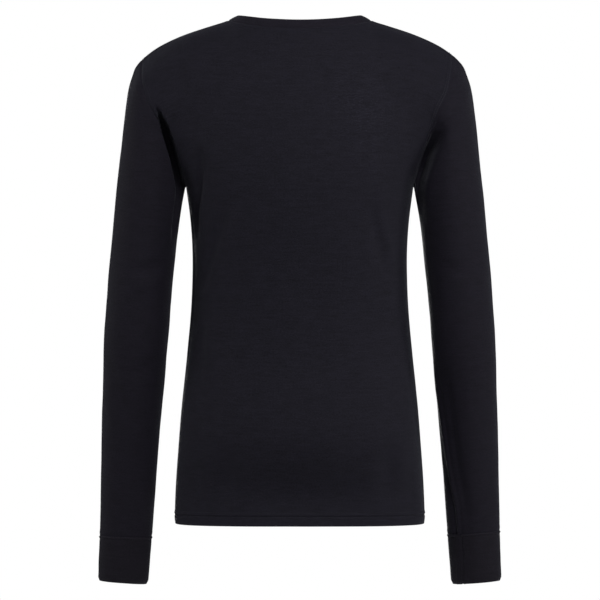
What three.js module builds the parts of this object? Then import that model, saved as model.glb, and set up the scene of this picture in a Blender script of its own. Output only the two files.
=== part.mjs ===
// Base layer top: a close-fitting, long-sleeved crew-neck top in fine knit, as it stands when worn.
// It is a hollow garment, open at the neck, hem and cuffs, cut and sewn from seven pieces:
// front, back, two set-in sleeves, two doubled cuffs and a doubled neckband.
// Millimetres. +X is the wearer's left, +Y the back, +Z up.
// The origin lies on the middle plane, level with the points where the shoulder seams meet the neckband.
import * as THREE from "three";

// Driving dimensions
const BODY_LENGTH = 694.7; // neck point of the shoulder to the hem
const NECK_HALF_WIDTH = 98.5; // half the distance between the two neck points
const UNDERARM_Z = -230; // where side seam, sleeve seam and armhole meet
const CLOTH = 1.4; // wall of a single layer
const DOUBLED = 2.2; // wall of the cuffs, the neckband and the turned-up hem
const SEAM_GAP = 0.3; // between the edges of two pieces
const STEEPEST_MITRE = 0.75; // walls that meet at a sharp angle are cut no slimmer than this
const HEM_HEIGHT = 20; // turned-up hem
const CUFF_HEIGHT = 66;
const BAND_HEIGHT = 15; // neckband, seam to folded edge

// Shoulder seam: falls steadily from the neck and rounds off over the arm
const SHOULDER = { halfWidth: 218.7, slope: 0.318, tipDrop: 17.6, roundness: 5, neckY: -4, tipY: -8 };
const SHOULDER_TIP = { left: 218.7, right: 211 }; // the right sleeve is set a little further in

// Neckline, from the neck point to the middle of the back and of the front
const NECKLINE = {
  back: { y: 60, drop: 14.4 },
  front: { y: -92, drop: 88 },
};
const NECK_SHARE = 0.5; // share of a half panel's columns that ends at the neckline
const NECK_EASE = 1.6; // how softly the neckline passes over the neck point

// Torso sections, hem to underarm. back and front are distances along Y
const TORSO = [
  { z: -694.7, halfWidth: 171.2, back: 96, front: -105, seamY: -4 },
  { z: -684, halfWidth: 172.3, back: 98, front: -106.5, seamY: -4 },
  { z: -640, halfWidth: 170.8, back: 103, front: -107, seamY: -4 },
  { z: -580, halfWidth: 166.5, back: 111, front: -106, seamY: -3 },
  { z: -530, halfWidth: 162.4, back: 107, front: -105, seamY: -3 },
  { z: -463, halfWidth: 155.5, back: 94, front: -105, seamY: -2 },
  { z: -397, halfWidth: 149.7, back: 91, front: -108, seamY: -1 },
  { z: -331, halfWidth: 147.7, back: 98, front: -116, seamY: 0 },
  { z: -280, halfWidth: 150.2, back: 107, front: -123, seamY: 0 },
  { z: UNDERARM_Z, halfWidth: 156.5, back: 112, front: -126, seamY: 0 },
];
const SQUARENESS = 2.3; // 2 is an ellipse, more is boxier

// Yoke, the part above the underarm. u runs from the middle to the armhole. A column leaves the underarm
// section by spread, lean (outwards) and rise, and bends towards x, y, z before it ends at the top edge.
const YOKE = {
  back: [
    { u: 0.0, spread: 0, lean: 2, rise: 82, x: 0, y: 87, z: -66 },
    { u: 0.25, spread: 1, lean: 4, rise: 84, x: 70, y: 82, z: -48 },
    { u: 0.5, spread: 3, lean: 12, rise: 90, x: 111, y: 72, z: -24 },
    { u: 0.62, spread: 5, lean: 20, rise: 88, x: 134, y: 69, z: -23 },
    { u: 0.75, spread: 8, lean: 34, rise: 76, x: 163, y: 69, z: -34 },
    { u: 1.0, spread: 20, lean: 74, rise: 24, x: 224, y: 70, z: -105 },
  ],
  front: [
    { u: 0.0, spread: 0, lean: 3, rise: 48, x: 0, y: -110, z: -128 },
    { u: 0.25, spread: 1, lean: 2, rise: 56, x: 73, y: -90, z: -88 },
    { u: 0.5, spread: 3, lean: 4, rise: 76, x: 107, y: -60, z: -31 },
    { u: 0.62, spread: 4, lean: 8, rise: 80, x: 132, y: -63, z: -25 },
    { u: 0.75, spread: 6, lean: 22, rise: 72, x: 158, y: -68, z: -34 },
    { u: 1.0, spread: 10, lean: 82, rise: 24, x: 204, y: -88, z: -106 },
  ],
};
const ARMHOLE_PULL = 7; // how fast the armhole's hold on the columns fades towards the middle

// Armhole seams between underarm and shoulder tip
const ARMHOLE = {
  back: {
    left: [
      { x: 160.5, y: 27, z: -216 },
      { x: 168, y: 40, z: -190 },
      { x: 180.5, y: 49, z: -160 },
      { x: 193, y: 54, z: -141 },
      { x: 206.5, y: 51, z: -118 },
      { x: 216.5, y: 37, z: -88 },
    ],
    right: [
      { x: 160, y: 27, z: -216 },
      { x: 166, y: 40, z: -194 },
      { x: 178, y: 50, z: -157 },
      { x: 190, y: 58, z: -126 },
      { x: 201, y: 52, z: -104 },
      { x: 208, y: 30, z: -73 },
    ],
  },
  front: {
    left: [
      { x: 160, y: -30, z: -216 },
      { x: 166, y: -56, z: -188 },
      { x: 174, y: -74, z: -152 },
      { x: 186, y: -74, z: -118 },
      { x: 202, y: -54, z: -86 },
    ],
    right: [
      { x: 160, y: -30, z: -216 },
      { x: 165, y: -56, z: -188 },
      { x: 172, y: -74, z: -152 },
      { x: 183, y: -74, z: -118 },
      { x: 197, y: -54, z: -82 },
    ],
  },
};

// Sleeve sections, armhole to cuff. inner and outer are the sleeve's two edges seen from behind,
// back and front its reach along Y, armhole the share of the armhole's own shape that is left.
const SLEEVE = [
  { innerX: 157.6, innerZ: -233, outerX: 228.8, outerZ: -70, back: 56, front: -70, armhole: 0.86 },
  { innerX: 158.8, innerZ: -239, outerX: 236.6, outerZ: -95, back: 60, front: -68, armhole: 0.55 },
  { innerX: 160.6, innerZ: -247, outerX: 241.8, outerZ: -130, back: 61, front: -66, armhole: 0.28 },
  { innerX: 163.0, innerZ: -260, outerX: 246.8, outerZ: -178, back: 60, front: -64, armhole: 0.1 },
  { innerX: 166.2, innerZ: -282, outerX: 252.6, outerZ: -232, back: 59, front: -61, armhole: 0 },
  { innerX: 170.6, innerZ: -318, outerX: 259.0, outerZ: -300, back: 57, front: -57, armhole: 0 },
  { innerX: 176.0, innerZ: -372, outerX: 265.0, outerZ: -368, back: 56, front: -53, armhole: 0 },
  { innerX: 182.0, innerZ: -446, outerX: 270.0, outerZ: -441, back: 52, front: -52, armhole: 0 },
  { innerX: 190.2, innerZ: -536, outerX: 272.8, outerZ: -531, back: 40, front: -58, armhole: 0 },
  { innerX: 198.5, innerZ: -628, outerX: 275.2, outerZ: -623, back: 23, front: -63, armhole: 0 },
  { innerX: 204.8, innerZ: -713, outerX: 277.4, outerZ: -708, back: 5, front: -64, armhole: 0 },
];
// The cuff carries on from the sleeve's last section
const CUFF_END = { innerX: 210.4, outerX: 280, back: -3, front: -62 };
const CUFF_LIP = 2.5; // the folded end turns in by this much

// Neckband: its slope from the level, and its rounded profile from the seam (0) to the folded edge (1)
const BAND_STEEPNESS = { atNeckPoint: 24, atBack: 60, atFront: 50 };
const BAND_PROFILE = [
  { up: 0, lift: 0 },
  { up: 0.35, lift: 0.6 },
  { up: 0.8, lift: 0.3 },
  { up: 1, lift: -0.6 },
];

// Largest folds, as soft troughs. x and z run along the fold as it is seen from behind or in front
const FOLDS = {
  back: [
    { depth: 6, width: 11, path: [[134, -190], [134, -222], [139, -262], [144, -305]] },
    { depth: 4.5, width: 9, path: [[102, -262], [112, -297], [123, -328], [134, -366]] },
    { depth: 4, width: 13, path: [[134, -366], [137, -430], [138, -515]] },
    { depth: 2.5, width: 9, path: [[-98, -268], [-107, -305], [-117, -345]] },
    { depth: 2.5, width: 12, path: [[-118, -585], [-123, -650]] },
    { depth: 3, width: 12, path: [[96, -590], [106, -650]] },
  ],
  front: [
    { depth: 4, width: 12, path: [[136, -196], [124, -226], [104, -252]] },
    { depth: 3.5, width: 11, path: [[-140, -200], [-124, -236], [-108, -268]] },
    { depth: 4, width: 11, path: [[110, -300], [124, -350], [133, -420]] },
    { depth: 3, width: 12, path: [[-114, -310], [-127, -366], [-134, -450]] },
    { depth: 3, width: 14, path: [[64, -560], [72, -640]] },
    { depth: 3, width: 14, path: [[-76, -545], [-88, -640]] },
  ],
};
const FOLD_FADE = 16; // folds die out over this distance from a seam

// Mesh counts
const COLUMNS = 32; // across a panel
const YOKE_ROWS = 16; // up an armhole
const BODY_ROWS = 12; // underarm to hem
const SLEEVE_RINGS = 19;
const AROUND_SLEEVE = 2 * YOKE_ROWS;
const AROUND_NECK = 2 * COLUMNS * NECK_SHARE;

const SIDES = { left: 1, right: -1 };
const DEPTHS = { back: 1, front: -1 };

// Smooth value of one column of a table, at a value of the column that orders it
function columnAt(table, by, name, at) {
  let i = 1;
  while (i < table.length - 1 && table[i][by] < at) i++;
  const slope = (k) => {
    const a = table[Math.max(k - 1, 0)];
    const b = table[Math.min(k + 1, table.length - 1)];
    return (b[name] - a[name]) / (b[by] - a[by]);
  };
  const [low, high] = [table[i - 1], table[i]];
  const span = high[by] - low[by];
  const t = Math.min(Math.max((at - low[by]) / span, 0), 1);
  const t2 = t * t;
  const t3 = t2 * t;
  return (
    low[name] * (2 * t3 - 3 * t2 + 1) +
    high[name] * (3 * t2 - 2 * t3) +
    span * (slope(i - 1) * (t3 - 2 * t2 + t) + slope(i) * (t3 - t2))
  );
}

const mix = (a, b, t) => a + (b - a) * t;
const smooth = (t) => {
  const c = Math.min(Math.max(t, 0), 1);
  return c * c * (3 - 2 * c);
};

// Torso ring at height z. u is 0 at the middle of the panel and 1 or -1 at its side seams
function torsoPoint(face, u, z) {
  const at = (name) => columnAt(TORSO, "z", name, z);
  const angle = (Math.abs(u) * Math.PI) / 2;
  const power = 2 / SQUARENESS;
  const across = Math.sin(angle) ** power;
  const deep = Math.max(Math.cos(angle), 0) ** power;
  return new THREE.Vector3(
    Math.sign(u) * at("halfWidth") * across,
    mix(at("seamY"), at(face), deep),
    z,
  );
}

function shoulderZ(x) {
  const reach = x - NECK_HALF_WIDTH;
  const share = reach / (SHOULDER.halfWidth - NECK_HALF_WIDTH);
  return -SHOULDER.slope * reach - SHOULDER.tipDrop * share ** SHOULDER.roundness;
}

// Upper edge of a panel: neckline, then shoulder seam
function upperEdge(face, u) {
  const side = u < 0 ? "right" : "left";
  const share = Math.abs(u);
  if (share <= NECK_SHARE) {
    const angle = ((share / NECK_SHARE) * Math.PI) / 2;
    const inwards = Math.cos(angle);
    const line = NECKLINE[face];
    return new THREE.Vector3(
      SIDES[side] * NECK_HALF_WIDTH * Math.sin(angle),
      mix(SHOULDER.neckY, line.y, inwards),
      -line.drop * Math.max(inwards, 0) ** NECK_EASE,
    );
  }
  const along = (share - NECK_SHARE) / (1 - NECK_SHARE);
  const x = mix(NECK_HALF_WIDTH, SHOULDER_TIP[side], along);
  return new THREE.Vector3(SIDES[side] * x, mix(SHOULDER.neckY, SHOULDER.tipY, along), shoulderZ(x));
}

// Armhole seam of one face and side, from the underarm (t = 0) to the shoulder tip (t = 1)
const armholes = {};
for (const face of Object.keys(DEPTHS)) {
  for (const [side, sign] of Object.entries(SIDES)) {
    const inner = ARMHOLE[face][side].map((p) => new THREE.Vector3(sign * p.x, p.y, p.z));
    const ends = [torsoPoint(face, sign, UNDERARM_Z), upperEdge(face, sign)];
    armholes[face + side] = new THREE.CatmullRomCurve3([ends[0], ...inner, ends[1]]);
  }
}

function yokeColumn(face, u, t) {
  const sign = Math.sign(u);
  const at = (name) => columnAt(YOKE[face], "u", name, Math.abs(u));
  const base = torsoPoint(face, u, UNDERARM_Z);
  const leaving = new THREE.Vector3(sign * at("spread"), DEPTHS[face] * at("lean"), at("rise"));
  const bend = new THREE.Vector3(sign * at("x"), at("y"), at("z"));
  const top = upperEdge(face, u);
  return new THREE.CubicBezierCurve3(base, leaving.add(base), bend, top).getPoint(t);
}

// Yoke point: its column, drawn towards the armhole seam near the sleeve
function yokePoint(face, u, t) {
  const side = u < 0 ? "right" : "left";
  const point = yokeColumn(face, u, t);
  const seam = armholes[face + side].getPointAt(t);
  const pull = seam.sub(yokeColumn(face, SIDES[side], t));
  return point.addScaledVector(pull, Math.abs(u) ** ARMHOLE_PULL);
}

// Distance from a point, seen along Y, to the nearest stretch of a fold, and how far along it that is
function foldDistance(point, path) {
  let best = { distance: Infinity, along: 0 };
  const lengths = path.slice(1).map(([x, z], i) => Math.hypot(x - path[i][0], z - path[i][1]));
  const total = lengths.reduce((a, b) => a + b, 0);
  let before = 0;
  lengths.forEach((length, i) => {
    const [ax, az] = path[i];
    const [bx, bz] = path[i + 1];
    const raw = ((point.x - ax) * (bx - ax) + (point.z - az) * (bz - az)) / length ** 2;
    const t = Math.min(Math.max(raw, 0), 1);
    const distance = Math.hypot(point.x - mix(ax, bx, t), point.z - mix(az, bz, t));
    if (distance < best.distance) best = { distance, along: (before + t * length) / total };
    before += length;
  });
  return best;
}

function foldDepth(face, point) {
  return FOLDS[face].reduce((sum, fold) => {
    const { distance, along } = foldDistance(point, fold.path);
    const fade = 0.35 + 0.65 * Math.sin(Math.PI * along);
    return sum + fold.depth * fade * Math.exp(-((distance / fold.width) ** 2));
  }, 0);
}

// Outward normals of a grid of points: columns run anticlockwise and rows up, or both the other way.
// A closed grid joins its last column to its first.
function gridNormals(grid, closed) {
  const rows = grid.length;
  const columns = grid[0].length;
  return grid.map((line, r) =>
    line.map((_, c) => {
      const before = closed ? (c + columns - 1) % columns : Math.max(c - 1, 0);
      const after = closed ? (c + 1) % columns : Math.min(c + 1, columns - 1);
      const across = line[after].clone().sub(line[before]);
      const along = grid[Math.min(r + 1, rows - 1)][c].clone().sub(grid[Math.max(r - 1, 0)][c]);
      return across.cross(along).normalize();
    }),
  );
}

// Way from the outside of each piece to its inside, a unit of thickness deep. Pieces that meet at a seam
// point share it there, so that their walls mitre.
function addDepths(pieces) {
  const key = (point) => point.toArray().map((value) => Math.round(value * 100 + 0.137)).join();
  const shared = new Map();
  for (const { grid, closed, weight } of pieces) {
    const normals = gridNormals(grid, closed);
    grid.forEach((line, r) =>
      line.forEach((point, c) => {
        const at = shared.get(key(point)) ?? { sum: new THREE.Vector3(), weights: 0 };
        at.sum.addScaledVector(normals[r][c], weight(r, c));
        at.weights += weight(r, c);
        shared.set(key(point), at);
      }),
    );
  }
  for (const piece of pieces) {
    piece.depths = piece.grid.map((line) =>
      line.map((point) => {
        const { sum, weights } = shared.get(key(point));
        const share = Math.max(sum.length() / weights, STEEPEST_MITRE);
        return sum.clone().setLength(-1 / share);
      }),
    );
  }
}

// Closed wall of a piece: its grid is the outside, and the inside lies a thickness below it
function wall({ grid, closed, thickness, gap, depths }) {
  const rows = grid.length;
  const columns = grid[0].length;
  const outer = grid.map((line, r) => line.map((point, c) => point.clone().add(gap(r, c))));
  const inner = outer.map((line, r) =>
    line.map((point, c) => point.clone().addScaledVector(depths[r][c], thickness(r))),
  );
  const positions = [outer, inner].flatMap((layer) => layer.flat()).flatMap((p) => p.toArray());
  const id = (layer, r, c) => (layer * rows + r) * columns + (c % columns);
  const triangles = [];
  const quad = (a, b, c, d) => triangles.push(a, b, c, a, c, d);
  const strips = closed ? columns : columns - 1;
  for (let c = 0; c < strips; c++) {
    for (let r = 0; r < rows - 1; r++) {
      quad(id(0, r, c), id(0, r, c + 1), id(0, r + 1, c + 1), id(0, r + 1, c));
      quad(id(1, r, c), id(1, r + 1, c), id(1, r + 1, c + 1), id(1, r, c + 1));
    }
    quad(id(0, 0, c), id(1, 0, c), id(1, 0, c + 1), id(0, 0, c + 1));
    quad(id(0, rows - 1, c), id(0, rows - 1, c + 1), id(1, rows - 1, c + 1), id(1, rows - 1, c));
  }
  if (!closed) {
    for (let r = 0; r < rows - 1; r++) {
      quad(id(0, r, 0), id(0, r + 1, 0), id(1, r + 1, 0), id(1, r, 0));
      quad(id(0, r, strips), id(1, r, strips), id(1, r + 1, strips), id(0, r + 1, strips));
    }
  }
  const geometry = new THREE.BufferGeometry();
  geometry.setAttribute("position", new THREE.Float32BufferAttribute(positions, 3));
  geometry.setIndex(triangles);
  geometry.computeVertexNormals();
  return geometry;
}

const noGap = new THREE.Vector3();

// Heights of the torso rows, hem to underarm, closer together at the hem
const hemRows = [-BODY_LENGTH, -BODY_LENGTH + 3, -BODY_LENGTH + 9.5, -BODY_LENGTH + HEM_HEIGHT];
const bodyRows = [...hemRows];
for (let i = 1; i <= BODY_ROWS; i++) {
  bodyRows.push(mix(hemRows.at(-1), UNDERARM_Z, i / BODY_ROWS));
}

// Front or back panel
function panel(face) {
  const across = Array.from({ length: COLUMNS + 1 }, (_, c) => DEPTHS[face] * (1 - (2 * c) / COLUMNS));
  const flat = bodyRows.map((z) => across.map((u) => torsoPoint(face, u, z)));
  for (let i = 1; i <= YOKE_ROWS; i++) {
    flat.push(across.map((u) => yokePoint(face, u, i / YOKE_ROWS)));
  }
  const normals = gridNormals(flat, false);
  const top = flat.length - 1;
  const grid = flat.map((line, r) =>
    line.map((point, c) => {
      const toSide = Math.min(point.distanceTo(line[0]), point.distanceTo(line[COLUMNS]));
      const toTop = point.distanceTo(flat[top][c]);
      const fade = smooth(toSide / FOLD_FADE) * smooth(toTop / FOLD_FADE);
      return point.clone().addScaledVector(normals[r][c], -fade * foldDepth(face, point));
    }),
  );
  const halfGap = new THREE.Vector3(0, (DEPTHS[face] * SEAM_GAP) / 2, 0);
  const onSideSeam = (r, c) => r < bodyRows.length && (c === 0 || c === COLUMNS);
  const onShoulder = (r, c) => r === top && Math.abs(across[c]) >= NECK_SHARE;
  const betweenPanels = (r, c) => onSideSeam(r, c) || onShoulder(r, c);
  return {
    grid,
    closed: false,
    thickness: (r) => (r < hemRows.length - 1 ? DOUBLED : CLOTH),
    gap: (r, c) => (betweenPanels(r, c) ? halfGap : noGap),
    weight: (r, c) => (betweenPanels(r, c) ? 0.5 : 1), // the two panels count as one
  };
}

// Points round the armhole, from the underarm up the back and down the front
function armholeLoop(side) {
  return Array.from({ length: AROUND_SLEEVE }, (_, j) => {
    const half = j / YOKE_ROWS;
    return half <= 1
      ? armholes["back" + side].getPointAt(half)
      : armholes["front" + side].getPointAt(2 - half);
  });
}

// One ring of a sleeve or cuff, drawn between its inner and outer edge
function sleeveRing(section, side, loop) {
  const sign = SIDES[side];
  const inner = new THREE.Vector3(sign * section.innerX, 0, section.innerZ);
  const outer = new THREE.Vector3(sign * section.outerX, 0, section.outerZ);
  const middleY = (section.back + section.front) / 2;
  const halfDepth = (section.back - section.front) / 2;
  const underarm = loop[0];
  const tip = loop[YOKE_ROWS];
  const chord = new THREE.Vector3(tip.x - underarm.x, 0, tip.z - underarm.z);
  const span = chord.length();
  chord.normalize();
  const bulgeAxis = new THREE.Vector3(chord.z, 0, -chord.x).multiplyScalar(sign);
  const width = outer.clone().sub(inner);
  const bulge = new THREE.Vector3(width.z, 0, -width.x).normalize().multiplyScalar(sign);
  return loop.map((seam, j) => {
    const angle = (2 * Math.PI * j) / AROUND_SLEEVE;
    const fromUnderarm = seam.clone().sub(underarm);
    const seamShare = (fromUnderarm.x * chord.x + fromUnderarm.z * chord.z) / span;
    const seamBulge = fromUnderarm.x * bulgeAxis.x + fromUnderarm.z * bulgeAxis.z;
    const share = mix((1 - Math.cos(angle)) / 2, seamShare, section.armhole);
    const point = inner.clone().addScaledVector(width, share);
    point.addScaledVector(bulge, seamBulge * section.armhole);
    point.y = mix(middleY + halfDepth * Math.sin(angle), seam.y, section.armhole);
    return point;
  });
}

// Tube from rings that run down the arm, with a gap at its first ring
function tube(rings, side, thickness, gap) {
  const downwards = side === "left";
  const first = downwards ? 0 : rings.length - 1;
  return {
    grid: downwards ? rings : [...rings].reverse(),
    closed: true,
    thickness: () => thickness,
    gap: (r) => (r === first ? gap : noGap),
    weight: () => 1,
  };
}

function sleeve(side) {
  const loop = armholeLoop(side);
  const table = SLEEVE.map((section, station) => ({ station, ...section }));
  const rings = [loop];
  for (let k = 0; k < SLEEVE_RINGS; k++) {
    const station = ((table.length - 1) * k) / (SLEEVE_RINGS - 1);
    const names = Object.keys(SLEEVE[0]).map((name) => [name, columnAt(table, "station", name, station)]);
    rings.push(sleeveRing(Object.fromEntries(names), side, loop));
  }
  const chord = loop[YOKE_ROWS].clone().sub(loop[0]);
  const away = new THREE.Vector3(chord.z, 0, -chord.x).multiplyScalar(SIDES[side]);
  return tube(rings, side, CLOTH, away.setLength(SEAM_GAP));
}

function cuff(side) {
  const loop = armholeLoop(side);
  const seam = SLEEVE.at(-1);
  const rings = [0, 0.06, 0.35, 0.7, 0.95, 1].map((share) => {
    const lip = CUFF_LIP * smooth((share - 0.9) / 0.1);
    const section = {
      innerX: mix(seam.innerX, CUFF_END.innerX, share) + lip,
      innerZ: seam.innerZ - CUFF_HEIGHT * share,
      outerX: mix(seam.outerX, CUFF_END.outerX, share) - lip,
      outerZ: seam.outerZ - CUFF_HEIGHT * share,
      back: mix(seam.back, CUFF_END.back, share) - lip,
      front: mix(seam.front, CUFF_END.front, share) + lip,
      armhole: 0,
    };
    return sleeveRing(section, side, loop);
  });
  return tube(rings, side, DOUBLED, new THREE.Vector3(0, 0, -SEAM_GAP));
}

// Neckband: stands on the neckline and leans in towards the neck
function neckband() {
  // Seen from above: left neck point, middle back, right neck point, middle front
  const steps = Array.from({ length: AROUND_NECK }, (_, i) => (4 * i) / AROUND_NECK);
  const foot = steps.map((step) =>
    step <= 2 ? upperEdge("back", NECK_SHARE * (1 - step)) : upperEdge("front", NECK_SHARE * (step - 3)),
  );
  const tangents = foot.map((_, i) => {
    const before = foot[(i + AROUND_NECK - 1) % AROUND_NECK];
    return foot[(i + 1) % AROUND_NECK].clone().sub(before).normalize();
  });
  const leans = steps.map((step, i) => {
    const backwards = Math.sin((step * Math.PI) / 2);
    const { atNeckPoint, atBack, atFront } = BAND_STEEPNESS;
    const atMiddle = backwards > 0 ? atBack : atFront;
    const steepness = THREE.MathUtils.degToRad(mix(atNeckPoint, atMiddle, Math.abs(backwards) ** 0.8));
    const inwards = new THREE.Vector3(-foot[i].x / NECK_HALF_WIDTH, -backwards, 0);
    inwards.addScaledVector(tangents[i], -inwards.dot(tangents[i])).setZ(0);
    return inwards.setLength(Math.cos(steepness)).setZ(Math.sin(steepness)).normalize();
  });
  const grid = BAND_PROFILE.map(({ up, lift }) =>
    foot.map((point, i) => {
      const outwards = tangents[i].clone().cross(leans[i]).normalize();
      const raised = point.clone().addScaledVector(leans[i], BAND_HEIGHT * up);
      return raised.addScaledVector(outwards, lift);
    }),
  );
  return {
    grid,
    closed: true,
    thickness: () => DOUBLED,
    gap: (r, c) => (r === 0 ? leans[c].clone().setLength(SEAM_GAP) : noGap),
    weight: () => 1,
  };
}

// Colours: near-black navy knit
const knit = (name) =>
  new THREE.MeshStandardMaterial({ name, color: new THREE.Color(0x1d1c22), roughness: 0.85, metalness: 0 });

const pieces = { back: panel("back"), front: panel("front"), neckband: neckband() };
for (const side of Object.keys(SIDES)) {
  pieces[`sleeve_${side}`] = sleeve(side);
  pieces[`cuff_${side}`] = cuff(side);
}
addDepths(Object.values(pieces));

const materials = { cuff: knit("cuff_knit"), neckband: knit("neckband_knit") };
const bodyKnit = knit("body_knit");
const top = new THREE.Group();
for (const [name, piece] of Object.entries(pieces)) {
  const mesh = new THREE.Mesh(wall(piece), materials[name.split("_")[0]] ?? bodyKnit);
  mesh.name = name;
  top.add(mesh);
}

export default top;
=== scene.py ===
import functools
import math

import bpy
import numpy as np
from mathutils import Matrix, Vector, noise


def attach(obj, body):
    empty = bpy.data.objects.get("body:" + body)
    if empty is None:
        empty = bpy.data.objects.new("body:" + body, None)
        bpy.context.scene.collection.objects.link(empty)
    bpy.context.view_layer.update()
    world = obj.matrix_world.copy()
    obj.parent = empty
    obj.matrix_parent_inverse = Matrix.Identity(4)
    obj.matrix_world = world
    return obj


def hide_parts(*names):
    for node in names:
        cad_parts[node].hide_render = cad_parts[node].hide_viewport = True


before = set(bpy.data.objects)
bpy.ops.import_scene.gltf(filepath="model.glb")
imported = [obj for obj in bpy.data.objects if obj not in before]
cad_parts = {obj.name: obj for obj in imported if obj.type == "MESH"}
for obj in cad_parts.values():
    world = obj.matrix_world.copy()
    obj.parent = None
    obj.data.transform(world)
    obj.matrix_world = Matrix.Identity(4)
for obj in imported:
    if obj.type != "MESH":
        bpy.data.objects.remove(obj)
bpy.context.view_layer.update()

MM = 0.001

# Sizes of the garment
BODY_LENGTH = 694.7
NECK_HALF_WIDTH = 98.5
UNDERARM_Z = -230.0
CLOTH = 1.4  # wall of a single layer
DOUBLED = 2.2  # wall of cuffs, neckband and turned-up hem
HEM_HEIGHT = 20.0
CUFF_HEIGHT = 66.0
BAND_HEIGHT = 15.0
SHOULDER = dict(half_width=218.7, slope=0.318, tip_drop=16.0, roundness=5, neck_y=-4.0, tip_y=-8.0)
SHOULDER_TIP = dict(left=218.7, right=211.0)
NECKLINE = dict(back=dict(y=60.0, drop=14.4), front=dict(y=-92.0, drop=88.0))
NECK_SHARE = 0.5
NECK_EASE = 1.6
SQUARENESS = 2.3
ARMHOLE_PULL = 7
SIDES = dict(left=1.0, right=-1.0)
DEPTHS = dict(back=1.0, front=-1.0)


def table(columns, rows):
    """A table with named columns, as arrays."""
    return dict(zip(columns.split(), np.array(rows, float).T))


# Torso sections from the hem up. back and front are distances along Y
TORSO = table("z half_width back front seam_y", [
    (-694.7, 171.2, 93, -105, -4),
    (-684, 172.3, 94, -106.5, -4),
    (-640, 170.8, 97, -107, -4),
    (-580, 166.5, 111.5, -106, -3),
    (-530, 162.4, 109, -105, -3),
    (-463, 155.5, 99, -105, -2),
    (-397, 149.7, 97, -108, -1),
    (-331, 147.7, 102, -116, 0),
    (-280, 150.2, 108, -123, 0),
    (UNDERARM_Z, 156.5, 112, -126, 0),
])

# Yoke columns from the middle (u = 0) to the armhole (u = 1)
YOKE = dict(
    back=table("u spread lean rise x y z", [
        (0.0, 0, 2, 82, 0, 87, -66),
        (0.25, 1, 4, 84, 70, 82, -48),
        (0.5, 3, 12, 90, 111, 72, -24),
        (0.62, 5, 20, 88, 134, 69, -23),
        (0.75, 8, 34, 76, 163, 69, -34),
        (1.0, 20, 74, 24, 224, 70, -105),
    ]),
    front=table("u spread lean rise x y z", [
        (0.0, 0, 3, 48, 0, -110, -128),
        (0.25, 1, 2, 56, 73, -90, -88),
        (0.5, 3, 4, 76, 107, -60, -31),
        (0.62, 4, 8, 80, 132, -63, -25),
        (0.75, 6, 22, 72, 158, -68, -34),
        (1.0, 10, 82, 24, 204, -88, -106),
    ]),
)

# Armhole seams between the underarm and the shoulder tip: x, y, z
ARMHOLE = dict(
    back=dict(
        left=[(160.5, 27, -216), (168, 40, -190), (180.5, 49, -160),
              (193, 54, -141), (206.5, 51, -118), (216.5, 37, -88)],
        right=[(160, 27, -216), (166, 40, -194), (178, 50, -157),
               (190, 58, -126), (201, 52, -104), (208, 30, -73)],
    ),
    front=dict(
        left=[(160, -30, -216), (166, -56, -188), (174, -74, -152), (186, -74, -118), (202, -54, -86)],
        right=[(160, -30, -216), (165, -56, -188), (172, -74, -152), (183, -74, -118), (197, -54, -82)],
    ),
)

# Sleeve sections from the armhole down. armhole is the share of the armhole's own shape that is left
SLEEVE = table("inner_x inner_z outer_x outer_z back front armhole", [
    (157.6, -233, 228.8, -70, 56, -70, 0.86),
    (158.8, -239, 236.6, -95, 60, -68, 0.55),
    (160.6, -247, 241.8, -130, 61, -66, 0.28),
    (163.0, -260, 246.8, -178, 60, -64, 0.1),
    (166.2, -282, 252.6, -232, 59, -61, 0),
    (170.6, -318, 259.0, -300, 57, -57, 0),
    (176.0, -372, 265.0, -368, 56, -53, 0),
    (182.0, -446, 270.0, -441, 52, -52, 0),
    (190.2, -536, 272.8, -531, 40, -58, 0),
    (198.5, -628, 275.2, -623, 23, -63, 0),
    (204.8, -713, 277.4, -708, 5, -64, 0),
])
SLEEVE["station"] = np.arange(len(SLEEVE["back"]), dtype=float)
CUFF_SEAM = dict(left=(-713.5, -712.5), right=(-710.5, -705.5))  # inner and outer height
CUFF_END = dict(inner_x=210.4, inner_z=-780.3, outer_x=280.0, outer_z=-775.4, back=-3.0, front=-62.0)
BAND_STEEPNESS = dict(neck_point=24.0, back=60.0, front=50.0)

# Deep folds where the sleeves hang against the body, seen from behind. share is how much of the way to
# the depth in ARMPIT_FLOORS the cloth goes in, inner and outer are the widths towards the body and the
# sleeve, and tuck is how far the bottom lies under the sleeve, or below 0 under the body.
ARMPITS = dict(
    left=table("x z share inner outer tuck", [
        (196.5, -121, 0, 1.8, 1.8, 4.5),
        (192.5, -130, 0.15, 2.2, 2.4, 4.5),
        (188.5, -139.5, 0.5, 3.4, 3.4, 4.5),
        (184.2, -151.5, 0.9, 4.8, 4.8, 4.5),
        (178, -172, 1, 5, 4.8, 4.5),
        (172, -192.5, 1, 4.8, 4.8, 4.5),
        (167, -213, 1, 5, 5, 4.5),
        (164, -234, 1, 6, 4.8, 4.5),
        (165.5, -250, 0.97, 6, 4.4, 4.5),
        (168.5, -270, 0.85, 6, 4, 4.5),
        (171, -288, 0.45, 6, 4, 4.5),
        (173, -305, 0, 6, 4, 4.5),
    ]),
    right=table("x z share inner outer tuck", [
        (192, -142, 0, 3, 12, 0),
        (187, -154, 0.1, 4, 12, -3),
        (182, -167, 0.3, 4.2, 10, -4.5),
        (175.5, -184, 0.68, 4.4, 7.5, -4.5),
        (169.5, -206, 0.97, 4.4, 6.2, -4.5),
        (165, -222, 1, 4.8, 5.6, -3),
        (163, -234, 1, 4.8, 5.4, 0),
        (163, -246, 0.85, 5, 5.5, 0),
        (165, -262, 0.4, 5, 6, 0),
        (168, -288, 0, 5, 7, 0),
    ]),
)
ARMPIT_EDGES = dict(left=(4.5, 7.0), right=(5.0, 2.3))  # how sheer they are, body side and sleeve side
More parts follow.
